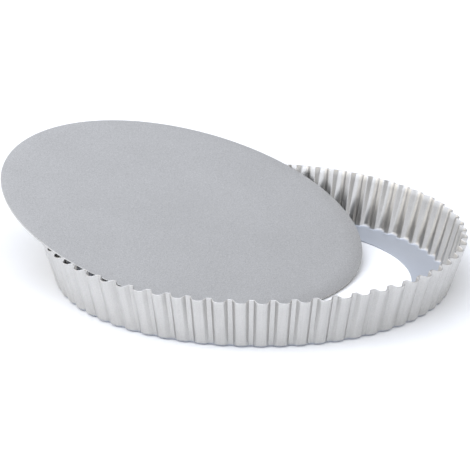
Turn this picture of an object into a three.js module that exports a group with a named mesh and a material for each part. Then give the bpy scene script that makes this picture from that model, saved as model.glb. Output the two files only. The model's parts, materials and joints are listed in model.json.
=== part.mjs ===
// A loose-bottomed tart pan, in millimetres with +Z up: a fluted ring that stands on its flat ledge,
// and a separate round base that leans on the ring with its low edge down in the open middle.

import * as THREE from "three";

// Fluted ring. A crown is the outward part of a flute, a valley is the narrow fold between two crowns.
const SHEET = 0.7;
const FLUTE_COUNT = 64;
const RIM_RADIUS = 140;
const FOOT_RADIUS = 129;
const CROWN_HEIGHT = 33.6;
const VALLEY_HEIGHT = 34.3;
const FLUTE_DEPTH_AT_RIM = 4.4;
const FLUTE_DEPTH_AT_FOOT = 1.3;
const OPENING_RADIUS = 104;
const OUTSIDE_BEND = 1.2;
const INSIDE_BEND = 1.8;
const FIRST_VALLEY_ANGLE = THREE.MathUtils.degToRad(-0.65);

// Shape of one flute, in shares of its pitch measured from the middle of a valley.
const VALLEY_HALF_WIDTH = 0.11;
const SHOULDER_AT = 0.21;
const SHOULDER_SHARE = 0.62;
const FLUTE_COLUMNS = [-VALLEY_HALF_WIDTH, VALLEY_HALF_WIDTH, SHOULDER_AT, 0.36, 0.5, 0.64, 1 - SHOULDER_AT];

// Loose base, and how it leans: the middle of its sheet from the ring's axis and foot, its slope, and
// the compass direction in which it slopes down.
const BASE_RADIUS = 122.6;
const BASE_SHEET = 0.8;
const BASE_SIDES = 144;
const BASE_CENTRE = new THREE.Vector3(-47.1, 32.1, 34.0);
const BASE_SLOPE = THREE.MathUtils.degToRad(15.4);
const DOWNHILL_ANGLE = THREE.MathUtils.degToRad(-35.1);

// How far out a flute stands at a place along its pitch: 0 in the valley, 1 on top of the crown. The
// side wall is straight from the valley to the shoulder, and the crown is a parabola between shoulders.
function crownShare(place) {
  const fromValley = Math.abs(place - Math.round(place));
  if (fromValley <= VALLEY_HALF_WIDTH) return 0;
  if (fromValley <= SHOULDER_AT) {
    return (SHOULDER_SHARE * (fromValley - VALLEY_HALF_WIDTH)) / (SHOULDER_AT - VALLEY_HALF_WIDTH);
  }
  const fromTop = (0.5 - fromValley) / (0.5 - SHOULDER_AT);
  return 1 - (1 - SHOULDER_SHARE) * fromTop * fromTop;
}

// A point on the outside of the wall at a height, over a crown and over a valley.
function wallAt(height) {
  const valleyFoot = FOOT_RADIUS - FLUTE_DEPTH_AT_FOOT;
  const valleyRim = RIM_RADIUS - FLUTE_DEPTH_AT_RIM;
  return {
    crown: new THREE.Vector2(FOOT_RADIUS + ((RIM_RADIUS - FOOT_RADIUS) * height) / CROWN_HEIGHT, height),
    valley: new THREE.Vector2(valleyFoot + ((valleyRim - valleyFoot) * height) / VALLEY_HEIGHT, height),
  };
}

// Moves a crown and valley pair towards the ring's axis, and puts both at one height.
function inwards(pair, distance, height) {
  return {
    crown: new THREE.Vector2(pair.crown.x - distance, height),
    valley: new THREE.Vector2(pair.valley.x - distance, height),
  };
}

// The closed section of the ring: up the outside, over the rim, down the inside and round the ledge.
function ringSection() {
  const rim = {
    crown: new THREE.Vector2(RIM_RADIUS, CROWN_HEIGHT),
    valley: new THREE.Vector2(RIM_RADIUS - FLUTE_DEPTH_AT_RIM, VALLEY_HEIGHT),
  };
  const insideRim = {
    crown: new THREE.Vector2(rim.crown.x - SHEET, CROWN_HEIGHT),
    valley: new THREE.Vector2(rim.valley.x - SHEET, VALLEY_HEIGHT),
  };
  const insideFoot = wallAt(SHEET + INSIDE_BEND);
  const edge = new THREE.Vector2(OPENING_RADIUS, 0);
  const edgeTop = new THREE.Vector2(OPENING_RADIUS, SHEET);
  const section = [
    inwards(wallAt(0), OUTSIDE_BEND, 0),
    wallAt(OUTSIDE_BEND),
    rim,
    insideRim,
    inwards(insideFoot, SHEET, SHEET + INSIDE_BEND),
    inwards(insideFoot, SHEET + INSIDE_BEND, SHEET),
    { crown: edgeTop, valley: edgeTop },
    { crown: edge, valley: edge },
  ];
  section.push(section[0]);
  return section;
}

// Turns the section round the axis, then moves each column of points to its place on a flute.
function flutedRingGeometry() {
  const section = ringSection();
  const columns = FLUTE_COUNT * FLUTE_COLUMNS.length;
  const lathe = new THREE.LatheGeometry(section.map((pair) => pair.crown), columns);
  const positions = lathe.getAttribute("position");
  const point = new THREE.Vector2();
  for (let column = 0; column <= columns; column += 1) {
    const turned = column % columns;
    const flute = Math.floor(turned / FLUTE_COLUMNS.length);
    const place = FLUTE_COLUMNS[turned % FLUTE_COLUMNS.length];
    const angle = FIRST_VALLEY_ANGLE + ((flute + place) * 2 * Math.PI) / FLUTE_COUNT;
    section.forEach((pair, row) => {
      point.lerpVectors(pair.valley, pair.crown, crownShare(place));
      positions.setXYZ(
        column * section.length + row,
        point.x * Math.cos(angle),
        point.x * Math.sin(angle),
        point.y,
      );
    });
  }
  return lathe;
}

// A flat round sheet whose middle is at the origin.
function looseBaseGeometry() {
  const sheet = new THREE.CylinderGeometry(BASE_RADIUS, BASE_RADIUS, BASE_SHEET, BASE_SIDES);
  return sheet.rotateX(Math.PI / 2);
}

const flutedRing = new THREE.Mesh(
  flutedRingGeometry(),
  new THREE.MeshStandardMaterial({ color: 0xc4c6c6, roughness: 0.38, metalness: 1 }),
);
flutedRing.name = "fluted_ring";

const looseBase = new THREE.Mesh(
  looseBaseGeometry(),
  new THREE.MeshStandardMaterial({ color: 0xbabcc0, roughness: 0.5, metalness: 1 }),
);
looseBase.name = "loose_base";
looseBase.position.copy(BASE_CENTRE);
const levelLine = new THREE.Vector3(-Math.sin(DOWNHILL_ANGLE), Math.cos(DOWNHILL_ANGLE), 0);
looseBase.quaternion.setFromAxisAngle(levelLine, BASE_SLOPE);

// The pan stands with the middle of its footprint at the origin.
const tartPan = new THREE.Group();
tartPan.name = "tart_pan";
tartPan.add(flutedRing, looseBase);
const footprint = new THREE.Box3().setFromObject(tartPan, true);
const middle = footprint.getCenter(new THREE.Vector3());
tartPan.position.set(-middle.x, -middle.y, -footprint.min.z);

export default tartPan;
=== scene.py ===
"""A loose-bottomed tart pan of tinplate: a fluted ring with a ledge, and the base that leans on it."""

import json
import logging
import math
from collections.abc import Sequence
from dataclasses import dataclass, field
from enum import Enum

import bmesh
import bpy
import numpy as np
from mathutils import Matrix, Vector


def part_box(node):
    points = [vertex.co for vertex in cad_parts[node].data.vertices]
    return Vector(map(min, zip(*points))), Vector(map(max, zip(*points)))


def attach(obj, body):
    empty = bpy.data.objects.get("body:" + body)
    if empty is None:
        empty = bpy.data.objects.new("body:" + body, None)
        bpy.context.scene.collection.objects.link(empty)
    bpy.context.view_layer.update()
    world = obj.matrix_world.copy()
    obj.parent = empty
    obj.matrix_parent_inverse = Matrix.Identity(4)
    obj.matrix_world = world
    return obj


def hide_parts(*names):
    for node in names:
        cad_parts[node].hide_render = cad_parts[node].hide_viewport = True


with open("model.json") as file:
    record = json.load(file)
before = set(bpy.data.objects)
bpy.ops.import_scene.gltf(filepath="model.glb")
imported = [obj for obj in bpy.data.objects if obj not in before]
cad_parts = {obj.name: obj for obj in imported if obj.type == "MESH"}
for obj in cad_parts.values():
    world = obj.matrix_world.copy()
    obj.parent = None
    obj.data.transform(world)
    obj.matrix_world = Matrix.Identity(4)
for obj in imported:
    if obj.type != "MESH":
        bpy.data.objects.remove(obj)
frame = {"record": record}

LOG = logging.getLogger("tart_pan")
MM = 0.001

# Sockets of a Mix node set to colours: its two colours and its result.
MIX_FIRST = 6
MIX_SECOND = 7
MIX_RESULT = 2


class Face(Enum):
    """The two faces of a bent sheet, as the sign of their offset from its middle layer."""

    OUTSIDE = 1.0
    INSIDE = -1.0


def linear(hex_code: str) -> tuple[float, float, float, float]:
    """Turns an sRGB colour into linear light.

    Args:
        hex_code: The colour as six hex digits.

    Returns:
        Red, green, blue and an alpha of one.
    """
    shares = [int(hex_code[start:start + 2], 16) / 255 for start in (0, 2, 4)]
    red, green, blue = (s / 12.92 if s <= 0.04045 else ((s + 0.055) / 1.055) ** 2.4 for s in shares)
    return red, green, blue, 1.0


def add_node(
    tree: bpy.types.NodeTree, kind: str, settings: dict | None = None, inputs: dict | None = None
) -> bpy.types.Node:
    """Adds a node with its settings and its links.

    Args:
        tree: The node tree that gets the node.
        kind: The node's type name.
        settings: Properties of the node, by name.
        inputs: What goes into its sockets, by name or number: a value, or the socket to link from.

    Returns:
        The new node.
    """
    node = tree.nodes.new(kind)
    for name, value in (settings or {}).items():
        setattr(node, name, value)
    for name, value in (inputs or {}).items():
        if isinstance(value, bpy.types.NodeSocket):
            tree.links.new(value, node.inputs[name])
        else:
            node.inputs[name].default_value = value
    return node


def new_tree(name: str) -> tuple[bpy.types.Material, bpy.types.NodeTree]:
    """Makes a node material that has no nodes yet.

    Args:
        name: The material's name.

    Returns:
        The material and its node tree.
    """
    material = bpy.data.materials.new(name)
    material.use_nodes = True
    material.node_tree.nodes.clear()
    return material, material.node_tree


def round_corner(
    before: np.ndarray, corner: np.ndarray, after: np.ndarray, cut: float, steps: int
) -> np.ndarray:
    """Rounds the corner of an outline with a quadratic curve.

    Args:
        before: A point on the way to the corner.
        corner: The sharp corner.
        after: A point on the way out of the corner.
        cut: How far from the corner the curve starts and ends.
        steps: How many pieces the curve has.

    Returns:
        The curve's points, with its start and its end.
    """
    start = corner + cut * (before - corner) / np.linalg.norm(before - corner)
    end = corner + cut * (after - corner) / np.linalg.norm(after - corner)
    share = np.linspace(0.0, 1.0, steps + 1)[:, None]
    return (1 - share) ** 2 * start + 2 * share * (1 - share) * corner + share**2 * end


def skin(name: str, rings: Sequence[np.ndarray], joined_round: bool) -> bpy.types.Object:
    """Lays faces between closed rings of points, and makes an object of them.

    Args:
        name: The object's name.
        rings: Rings of points in metres, all of the same length, in the order in which they are joined.
        joined_round: Whether the last ring joins the first. If not, a fan of faces closes each end.

    Returns:
        The object, with smooth faces that look outwards.
    """
    shell = bmesh.new()
    loops = [[shell.verts.new(point) for point in ring] for ring in rings]
    pairs = list(zip(loops, loops[1:]))
    if joined_round:
        pairs.append((loops[-1], loops[0]))
    for low, high in pairs:
        for at in range(len(low)):
            after = (at + 1) % len(low)
            shell.faces.new((low[at], low[after], high[after], high[at]))
    if not joined_round:
        for ring, loop, backwards in ((rings[0], loops[0], True), (rings[-1], loops[-1], False)):
            middle = shell.verts.new(ring.mean(axis=0))
            for at in range(len(loop)):
                after = (at + 1) % len(loop)
                corners = (loop[after], loop[at], middle) if backwards else (loop[at], loop[after], middle)
                shell.faces.new(corners)
    bmesh.ops.recalc_face_normals(shell, faces=shell.faces)
    for face in shell.faces:
        face.smooth = True
    mesh = bpy.data.meshes.new(name)
    shell.to_mesh(mesh)
    shell.free()
    made = bpy.data.objects.new(name, mesh)
    bpy.context.scene.collection.objects.link(made)
    return made


@dataclass(frozen=True)
class DrawnTinplate:
    """Bright tinplate, deep-drawn into the fluted ring.

    The die leaves fine lines up the wall and a satin shine between a mirror and a matt sheet. The ledge
    isn't drawn, so it keeps the duller skin of the rolled sheet and shows no clear reflection; its
    blue-grey colour is a painted reflection of the cool light from above.
    """

    axis: Vector
    light: str = "D2D1CF"
    dark: str = "BFBEBC"
    roughness_low: float = 0.28
    roughness_high: float = 0.40
    line_spacing: float = 0.9 * MM  # really about 0.2 mm: drawn coarser so that it shows
    line_radius: float = 135 * MM  # the middle of the wall, where the lines have that spacing
    line_length: float = 30 * MM
    line_weight: float = 0.6
    line_depth: float = 0.012 * MM
    grain: float = 0.7 * MM  # the crystals of the tin are finer: drawn coarser so that they show
    bloom: float = 24 * MM
    bloom_weight: float = 0.5
    marks_low: float = 0.6
    marks_high: float = 1.5
    relief_strength: float = 0.5
    flat_roughness: float = 0.55
    # painted reflection: blue-grey colour on the ledge that stands in for the cool light from above
    ledge_painted_blue_reflection: str = "B9BDC4"
    flat_top: float = 1.0 * MM  # height up to which the sheet is flat, keeps its rolled skin and has the full painted blue reflection
    painted_reflection_fade_top: float = 2.0 * MM  # height from which the painted blue reflection has faded into the colour of the drawn wall
    drawn_from: float = 4.0 * MM  # height from which it has the shine of the drawn wall

    def material(self) -> bpy.types.Material:
        """Builds the finish.

        Returns:
            The material.
        """
        material, tree = new_tree("drawn_tinplate")
        place = add_node(tree, "ShaderNodeTexCoord").outputs["Object"]
        from_axis = add_node(
            tree, "ShaderNodeVectorMath", {"operation": "SUBTRACT"}, {0: place, 1: self.axis}
        ).outputs[0]
        flat = add_node(
            tree, "ShaderNodeVectorMath", {"operation": "MULTIPLY"}, {0: from_axis, 1: (1, 1, 0)}
        ).outputs[0]
        round_the_axis = add_node(
            tree, "ShaderNodeVectorMath", {"operation": "NORMALIZE"}, {0: flat}
        ).outputs[0]
        turns = self.line_radius / self.line_spacing
        spread = add_node(
            tree,
            "ShaderNodeVectorMath",
            {"operation": "MULTIPLY"},
            {0: round_the_axis, 1: (turns, turns, 0)},
        ).outputs[0]
        height = add_node(
            tree,
            "ShaderNodeVectorMath",
            {"operation": "MULTIPLY"},
            {0: from_axis, 1: (0, 0, 1 / self.line_length)},
        ).outputs[0]
        along_wall = add_node(
            tree, "ShaderNodeVectorMath", {"operation": "ADD"}, {0: spread, 1: height}
        ).outputs[0]
        lines = add_node(
            tree,
            "ShaderNodeTexNoise",
            inputs={"Vector": along_wall, "Scale": 1.0, "Detail": 3.0, "Roughness": 0.6},
        ).outputs["Fac"]
        grain = add_node(
            tree, "ShaderNodeTexNoise", inputs={"Vector": place, "Scale": 1 / self.grain, "Detail": 2.0}
        ).outputs["Fac"]
        bloom = add_node(
            tree, "ShaderNodeTexNoise", inputs={"Vector": place, "Scale": 1 / self.bloom, "Detail": 2.0}
        ).outputs["Fac"]
        marks = add_node(
            tree, "ShaderNodeMath", {"operation": "MULTIPLY_ADD"}, {0: lines, 1: self.line_weight, 2: grain}
        ).outputs[0]
        all_marks = add_node(
            tree,
            "ShaderNodeMath",
            {"operation": "MULTIPLY_ADD"},
            {0: bloom, 1: self.bloom_weight, 2: marks},
        ).outputs[0]
        share = add_node(
            tree,
            "ShaderNodeMapRange",
            inputs={"Value": all_marks, "From Min": self.marks_low, "From Max": self.marks_high},
        ).outputs["Result"]
        colour = add_node(
            tree,
            "ShaderNodeMix",
            {"data_type": "RGBA"},
            {"Factor": share, MIX_FIRST: linear(self.dark), MIX_SECOND: linear(self.light)},
        ).outputs[MIX_RESULT]
        roughness = add_node(
            tree,
            "ShaderNodeMapRange",
            inputs={
                "Value": all_marks,
                "From Min": self.marks_low,
                "From Max": self.marks_high,
                "To Min": self.roughness_high,
                "To Max": self.roughness_low,
            },
        ).outputs["Result"]
        up_the_wall = add_node(tree, "ShaderNodeSeparateXYZ", inputs={"Vector": from_axis}).outputs["Z"]
        rolled_skin = add_node(
            tree,
            "ShaderNodeMapRange",
            inputs={
                "Value": up_the_wall,
                "From Min": self.flat_top,
                "From Max": self.drawn_from,
                "To Min": self.flat_roughness,
                "To Max": self.roughness_low,
            },
        ).outputs["Result"]
        dullness = add_node(
            tree, "ShaderNodeMath", {"operation": "MAXIMUM"}, {0: roughness, 1: rolled_skin}
        ).outputs[0]
        # painted reflection: the ledge's blue-grey colour fades into the drawn wall's colour between these
        # heights
        painted_reflection_fade = add_node(
            tree,
            "ShaderNodeMapRange",
            inputs={"Value": up_the_wall, "From Min": self.flat_top, "From Max": self.painted_reflection_fade_top},
        ).outputs["Result"]
        # colour of the die lines, grain and bloom, with the painted blue reflection on the ledge
        marks_and_painted_reflection = add_node(
            tree,
            "ShaderNodeMix",
            {"data_type": "RGBA"},
            {"Factor": painted_reflection_fade, MIX_FIRST: linear(self.ledge_painted_blue_reflection), MIX_SECOND: colour},
        ).outputs[MIX_RESULT]
        relief = add_node(
            tree,
            "ShaderNodeBump",
            inputs={"Height": marks, "Strength": self.relief_strength, "Distance": self.line_depth},
        ).outputs["Normal"]
        shader = add_node(
            tree,
            "ShaderNodeBsdfPrincipled",
            inputs={"Base Color": marks_and_painted_reflection, "Metallic": 1.0, "Roughness": dullness, "Normal": relief},
        ).outputs[0]
        add_node(tree, "ShaderNodeOutputMaterial", inputs={"Surface": shader})
        return material


@dataclass(frozen=True)
class RolledTinplate:
    """Matt tinplate, rolled flat for the loose base.

    Rolling leaves an even, very fine grain that scatters the light, so the sheet looks pale grey with a
    slight sparkle and shows no clear reflection.
    """

    light: str = "D1D0CE"
    dark: str = "ADACAA"
    roughness_low: float = 0.42
    roughness_high: float = 0.54
    grain: float = 0.8 * MM  # really about 0.1 mm: drawn coarser so that it shows
    grain_depth: float = 0.02 * MM
    cloud: float = 45 * MM
    cloud_weight: float = 0.12
    marks_low: float = 0.3
    marks_high: float = 0.82
    relief_strength: float = 0.5

    def material(self) -> bpy.types.Material:
        """Builds the finish.

        Returns:
            The material.
        """
        material, tree = new_tree("rolled_tinplate")
        place = add_node(tree, "ShaderNodeTexCoord").outputs["Object"]
        grain = add_node(
            tree,
            "ShaderNodeTexNoise",
            inputs={"Vector": place, "Scale": 1 / self.grain, "Detail": 3.0, "Roughness": 0.65},
        ).outputs["Fac"]
        cloud = add_node(
            tree, "ShaderNodeTexNoise", inputs={"Vector": place, "Scale": 1 / self.cloud, "Detail": 2.0}
        ).outputs["Fac"]
        marks = add_node(
            tree,
            "ShaderNodeMath",
            {"operation": "MULTIPLY_ADD"},
            {0: cloud, 1: self.cloud_weight, 2: grain},
        ).outputs[0]
        share = add_node(
            tree,
            "ShaderNodeMapRange",
            inputs={"Value": marks, "From Min": self.marks_low, "From Max": self.marks_high},
        ).outputs["Result"]
        colour = add_node(
            tree,
            "ShaderNodeMix",
            {"data_type": "RGBA"},
            {"Factor": share, MIX_FIRST: linear(self.dark), MIX_SECOND: linear(self.light)},
        ).outputs[MIX_RESULT]
        roughness = add_node(
            tree,
            "ShaderNodeMapRange",
            inputs={
                "Value": marks,
                "From Min": self.marks_low,
                "From Max": self.marks_high,
                "To Min": self.roughness_high,
                "To Max": self.roughness_low,
            },
        ).outputs["Result"]
        relief = add_node(
            tree,
            "ShaderNodeBump",
            inputs={"Height": grain, "Strength": self.relief_strength, "Distance": self.grain_depth},
        ).outputs["Normal"]
        shader = add_node(
            tree,
            "ShaderNodeBsdfPrincipled",
            inputs={"Base Color": colour, "Metallic": 1.0, "Roughness": roughness, "Normal": relief},
        ).outputs[0]
        add_node(tree, "ShaderNodeOutputMaterial", inputs={"Surface": shader})
        return material


@dataclass(frozen=True)
class StudioPaper:
    """Matt white background paper, with a very faint mottle."""

    light: str = "FBFBFB"
    dark: str = "F6F6F6"
    mottle: float = 60 * MM

    def material(self) -> bpy.types.Material:
        """Builds the finish.

        Returns:
            The material.
        """
        material, tree = new_tree("studio_paper")
        place = add_node(tree, "ShaderNodeTexCoord").outputs["Object"]
        mottle = add_node(
            tree, "ShaderNodeTexNoise", inputs={"Vector": place, "Scale": 1 / self.mottle}
        ).outputs["Fac"]
        colour = add_node(
            tree,
            "ShaderNodeMix",
            {"data_type": "RGBA"},
            {"Factor": mottle, MIX_FIRST: linear(self.dark), MIX_SECOND: linear(self.light)},
        ).outputs[MIX_RESULT]
        shader = add_node(tree, "ShaderNodeBsdfDiffuse", inputs={"Color": colour}).outputs[0]
        add_node(tree, "ShaderNodeOutputMaterial", inputs={"Surface": shader})
        return material


@dataclass
class FlutedRing:
    """The ring: a flat inward ledge that bends up into a leaning wall with flutes, of one bent sheet.

    A crown is the outward part of a flute, a valley the narrow fold between two crowns. Lengths are in
    metres. Places along a flute are shares of its pitch, measured from the middle of a valley.
    """

    axis: Vector
    flutes: int = 64
    sheet: float = 0.7 * MM
    rim_radius: float = 140 * MM
    foot_radius: float = 129 * MM
    crown_height: float = 33.4 * MM
    valley_height: float = 34.6 * MM
    depth_at_rim: float = 3.8 * MM  # how much further out a crown stands than a valley
    depth_at_foot: float = 2.4 * MM
    opening_radius: float = 104 * MM
    crown_bend: float = 3.4 * MM
    valley_bend: float = 1.5 * MM
    first_valley: float = math.radians(-0.65)
    valley_corner: float = 0.125  # place where the valley ends and the side of the flute starts
    crown_corner: float = 0.27  # place where the side ends and the crown starts
    crown_corner_share: float = 0.77  # how far out that is: 0 in the valley, 1 on top of the crown
    corner_cut: float = 0.5 * MM  # how far from these two corners their rounding starts
    corner_steps: int = 4
    crown_steps: int = 4
    ledge_rows: int = 3
    bend_rows: int = 8
    wall_rows: int = 8
    edge_steps: int = 3

    def flute_outline(self) -> tuple[np.ndarray, np.ndarray]:
        """Draws one flute, with a flat valley, steep sides and a bulging crown.

        Returns:
            The places of its columns along the pitch, and how far out each stands: 0 in the valley, 1
            on top of the crown.
        """
        pitch = 2 * math.pi * self.rim_radius / self.flutes
        size = np.array([pitch, self.depth_at_rim])
        valley, crest = np.array([0.0, 0.0]), np.array([0.5, 1.0])
        low = np.array([self.valley_corner, 0.0])
        high = np.array([self.crown_corner, self.crown_corner_share])
        along = np.linspace(0.0, 1.0, self.crown_steps + 1)[:, None]
        crown = high + (crest - high) * np.hstack([along, along * (2 - along)])
        low_bend = round_corner(valley * size, low * size, high * size, self.corner_cut, self.corner_steps)
        high_bend = round_corner(
            low * size, high * size, crown[1] * size, self.corner_cut, self.corner_steps
        )
        half = np.vstack([valley, low_bend / size, high_bend / size, crown[1:]])
        place = np.concatenate([half[:, 0], 1.0 - half[-2:0:-1, 0]])
        share = np.concatenate([half[:, 1], half[-2:0:-1, 1]])
        return place, share

    def middle_line(self, foot: float, rim: float, height: float, bend: float) -> np.ndarray:
        """Draws the sheet's middle layer in section, from the opening to the rim.

        Args:
            foot: Radius of the outside of the wall, carried down to the surface that the ring stands on.
            rim: Radius of the outside of the wall at the rim.
            height: Height of the rim.
            bend: Radius of the bend between ledge and wall.

        Returns:
            Points as radius and height, one for each row.
        """
        half = self.sheet / 2
        lean = math.atan2(rim - foot, height)
        up_wall = np.array([math.sin(lean), math.cos(lean)])
        corner = np.array([foot - half / math.cos(lean) + half * math.tan(lean), half])
        turn = math.pi / 2 - lean
        tangent = bend * math.tan(turn / 2)
        start = corner - np.array([tangent, 0.0])
        centre = start + np.array([0.0, bend])
        edge = np.array([self.opening_radius + half, half])
        ledge = np.linspace(edge, start, self.ledge_rows, endpoint=False)
        angles = np.linspace(0.0, turn, self.bend_rows)
        round_bend = centre + bend * np.column_stack([np.sin(angles), -np.cos(angles)])
        top = corner + up_wall * (height - 2 * half) / math.cos(lean)
        wall = np.linspace(round_bend[-1], top, self.wall_rows + 1)[1:]
        return np.vstack([ledge, round_bend, wall])

    def middle_layer(self) -> np.ndarray:
        """Turns the sheet's middle layer round the axis, with its flutes.

        Returns:
            Its points, by row from the opening to the rim, and by column round the axis.
        """
        outline_place, outline_share = self.flute_outline()
        place = (np.arange(self.flutes)[:, None] + outline_place[None, :]).ravel()
        share = np.tile(outline_share, self.flutes)[None, :, None]
        crown = self.middle_line(self.foot_radius, self.rim_radius, self.crown_height, self.crown_bend)
        valley = self.middle_line(
            self.foot_radius - self.depth_at_foot,
            self.rim_radius - self.depth_at_rim,
            self.valley_height,
            self.valley_bend,
        )
        section = valley[:, None, :] * (1.0 - share) + crown[:, None, :] * share
        angle = self.first_valley + place * 2 * math.pi / self.flutes
        return np.stack(
            [section[..., 0] * np.cos(angle), section[..., 0] * np.sin(angle), section[..., 1]], axis=-1
        )

    def rings(self) -> list[np.ndarray]:
        """Gives the middle layer its thickness, with round edges at the opening and the rim.

        Returns:
            Closed rings of points: from the opening along the outside, over the rim, back along the
            inside, and round the opening's edge.
        """
        middle = self.middle_layer()
        around = np.roll(middle, -1, axis=1) - np.roll(middle, 1, axis=1)
        outwards = np.gradient(middle, axis=0)
        outwards /= np.linalg.norm(outwards, axis=-1, keepdims=True)
        normal = np.cross(around, outwards)
        normal /= np.linalg.norm(normal, axis=-1, keepdims=True)
        half = self.sheet / 2
        turns = np.linspace(0.0, math.pi, self.edge_steps + 2)[1:-1]
        outside = [row + Face.OUTSIDE.value * half * up for row, up in zip(middle, normal)]
        inside = [row + Face.INSIDE.value * half * up for row, up in zip(middle, normal)]
        rim = [
            middle[-1] + half * (math.cos(turn) * normal[-1] + math.sin(turn) * outwards[-1])
            for turn in turns
        ]
        opening = [
            middle[0] - half * (math.cos(turn) * normal[0] + math.sin(turn) * outwards[0])
            for turn in turns
        ]
        centre = np.array(self.axis)
        return [ring + centre for ring in (*outside, *rim, *reversed(inside), *opening)]

    def build(self) -> bpy.types.Object:
        """Makes the ring, dresses it and puts it on its body.

        Returns:
            The ring.
        """
        ring = skin("tart_ring", self.rings(), joined_round=True)
        ring.data.materials.append(DrawnTinplate(self.axis).material())
        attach(ring, "ring")
        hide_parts("fluted_ring")
        return ring


@dataclass
class LooseBase:
    """The loose base: a flat round sheet with a rounded edge."""

    centre: Vector
    normal: Vector
    radius: float = 122.6 * MM
    sheet: float = 0.8 * MM
    sides: int = 360
    face_rings: int = 10
    edge_steps: int = 6

    def section(self) -> list[tuple[float, float]]:
        """Draws the sheet's section: out along the underside, round the edge and back in along the top.

        Returns:
            Points as radius and height.
        """
        half = self.sheet / 2
        flat = self.radius - half
        outwards = [flat * (step + 1) / self.face_rings for step in range(self.face_rings)]
        turns = [math.pi * (step + 1) / (self.edge_steps + 1) for step in range(self.edge_steps)]
        edge = [(flat + half * math.sin(turn), -half * math.cos(turn)) for turn in turns]
        return [(r, -half) for r in outwards] + edge + [(r, half) for r in reversed(outwards)]

    def build(self) -> bpy.types.Object:
        """Makes the base, dresses it and puts it on its body.

        Returns:
            The base.
        """
        angle = np.linspace(0.0, 2 * math.pi, self.sides, endpoint=False)
        lean = np.array(self.normal.to_track_quat("Z", "Y").to_matrix())
        rings = [
            np.column_stack([r * np.cos(angle), r * np.sin(angle), np.full(self.sides, z)]) @ lean.T
            + np.array(self.centre)
            for r, z in self.section()
        ]
        base = skin("tart_base", rings, joined_round=False)
        base.data.materials.append(RolledTinplate().material())
        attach(base, "base")
        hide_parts("loose_base")
        return base


@dataclass(frozen=True)
class Softbox:
    """A soft lamp: the place of its middle, its width and height, how bright it looks, and its tint."""

    name: str
    place: tuple[float, float, float]
    size: tuple[float, float]
    brightness: float
    tint: str

    def build(self, target: Vector) -> bpy.types.Object:
        """Hangs the lamp so that it faces the target.

        Args:
            target: The point that it lights.

        Returns:
            The lamp.
        """
        lamp = bpy.data.lights.new(self.name, "AREA")
        lamp.shape = "RECTANGLE"
        lamp.size, lamp.size_y = self.size
        lamp.energy = self.brightness * math.pi * self.size[0] * self.size[1]
        lamp.color = linear(self.tint)[:3]
        hung = bpy.data.objects.new(self.name, lamp)
        bpy.context.scene.collection.objects.link(hung)
        hung.location = self.place
        hung.rotation_euler = (Vector(self.place) - target).to_track_quat("Z", "Y").to_euler()
        hung.visible_camera = False
        return hung


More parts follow.
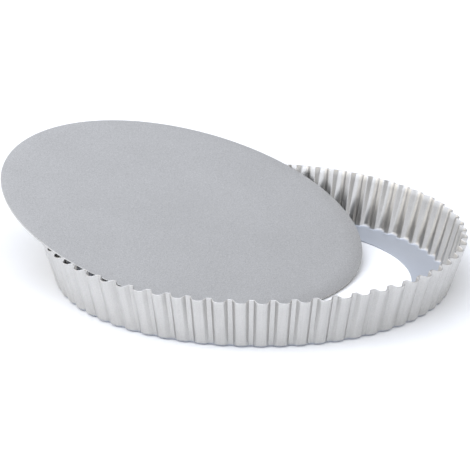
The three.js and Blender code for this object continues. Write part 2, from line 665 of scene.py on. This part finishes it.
@dataclass
class Studio:
    """White paper floor, soft lamps and the camera, whose lens is given in millimetres."""

    foot: Vector
    elevation: float = math.radians(19.30)
    roll: float = math.radians(0.791)
    lens: float = 275.7
    distance: float = 2.3623
    clip_start: float = 0.1
    aim_left: float = 11.83 * MM
    aim_up: float = 27.9 * MM
    floor_side: float = 60.0
    room_tint: str = "F5F7FC"
    room_brightness: float = 0.36
    softboxes: tuple[Softbox, ...] = field(
        default=(
            Softbox("overhead_lamp", (-0.5, -0.9, 2.4), (4.6, 3.6), 1.75, "F0F5FF"),
            Softbox("front_lamp", (-0.6, -2.7, 1.0), (5.0, 1.6), 1.1, "F5F8FF"),
            Softbox("left_lamp", (-2.2, 0.4, 1.25), (3.2, 1.6), 1.45, "FFFAF2"),
            Softbox("right_lamp", (2.2, -0.4, 1.0), (2.6, 1.5), 1.0, "FFFAF2"),
            Softbox("back_lamp", (-0.3, 1.5, 1.25), (2.2, 1.6), 0.92, "EEF3FF"),
        )
    )

    def build_floor(self) -> bpy.types.Object:
        """Lays the paper floor.

        Returns:
            The floor.
        """
        half = self.floor_side / 2
        corners = ((-half, -half), (half, -half), (half, half), (-half, half))
        sheet = bmesh.new()
        sheet.faces.new([sheet.verts.new((x, y, 0.0)) for x, y in corners])
        mesh = bpy.data.meshes.new("paper_floor")
        sheet.to_mesh(mesh)
        sheet.free()
        floor = bpy.data.objects.new("paper_floor", mesh)
        bpy.context.scene.collection.objects.link(floor)
        mesh.materials.append(StudioPaper().material())
        return floor

    def build_room(self) -> None:
        """Fills the room with even light, and shows colours as they are, without a film curve."""
        world = bpy.data.worlds.new("studio_room")
        world.use_nodes = True
        world.node_tree.nodes.clear()
        light = add_node(
            world.node_tree,
            "ShaderNodeBackground",
            inputs={"Color": linear(self.room_tint), "Strength": self.room_brightness},
        ).outputs[0]
        add_node(world.node_tree, "ShaderNodeOutputWorld", inputs={"Surface": light})
        bpy.context.scene.world = world
        bpy.context.scene.view_settings.view_transform = "Standard"

    def build_camera(self) -> bpy.types.Object:
        """Sets up the camera in front of the pan, looking down at it a little.

        Returns:
            The camera.
        """
        cos_down, sin_down = math.cos(self.elevation), math.sin(self.elevation)
        forward = Vector((0.0, cos_down, -sin_down))
        level_up = Vector((0.0, sin_down, cos_down))
        side = Vector((1.0, 0.0, 0.0))
        right = math.cos(self.roll) * side + math.sin(self.roll) * level_up
        up = -math.sin(self.roll) * side + math.cos(self.roll) * level_up
        aim = self.foot - self.aim_left * right + self.aim_up * up
        lens = bpy.data.cameras.new("studio_camera")
        lens.lens = self.lens
        lens.clip_start = self.clip_start
        camera = bpy.data.objects.new("studio_camera", lens)
        bpy.context.scene.collection.objects.link(camera)
        camera.matrix_world = Matrix.Translation(aim - self.distance * forward) @ Matrix(
            (right, up, -forward)
        ).transposed().to_4x4()
        bpy.context.scene.camera = camera
        return camera

    def build(self) -> None:
        """Builds the floor, the room, the lamps and the camera."""
        self.build_floor()
        self.build_room()
        for softbox in self.softboxes:
            softbox.build(self.foot)
        self.build_camera()


def mount_axis(name: str) -> Vector:
    """Looks up the direction of one of the record's mounts.

    Args:
        name: The mount's name.

    Returns:
        Its axis, with a length of one.
    """
    mounts = {mount["name"]: mount for mount in frame["record"]["mounts"]}
    return Vector(mounts[name]["axis"]).normalized()


def main() -> None:
    """Builds the pan and the studio, and logs how many faces each piece has."""
    logging.basicConfig(level=logging.INFO, format="%(name)s: %(message)s")
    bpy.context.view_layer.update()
    ring_low, ring_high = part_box("fluted_ring")
    base_low, base_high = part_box("loose_base")
    axis = (ring_low + ring_high) / 2
    axis.z = ring_low.z
    for piece in (
        FlutedRing(axis).build(),
        LooseBase((base_low + base_high) / 2, mount_axis("base_top")).build(),
    ):
        LOG.info("%s built with %d faces", piece.name, len(piece.data.polygons))
    Studio(axis).build()
    LOG.info("studio built")


if __name__ == "__main__":
    main()
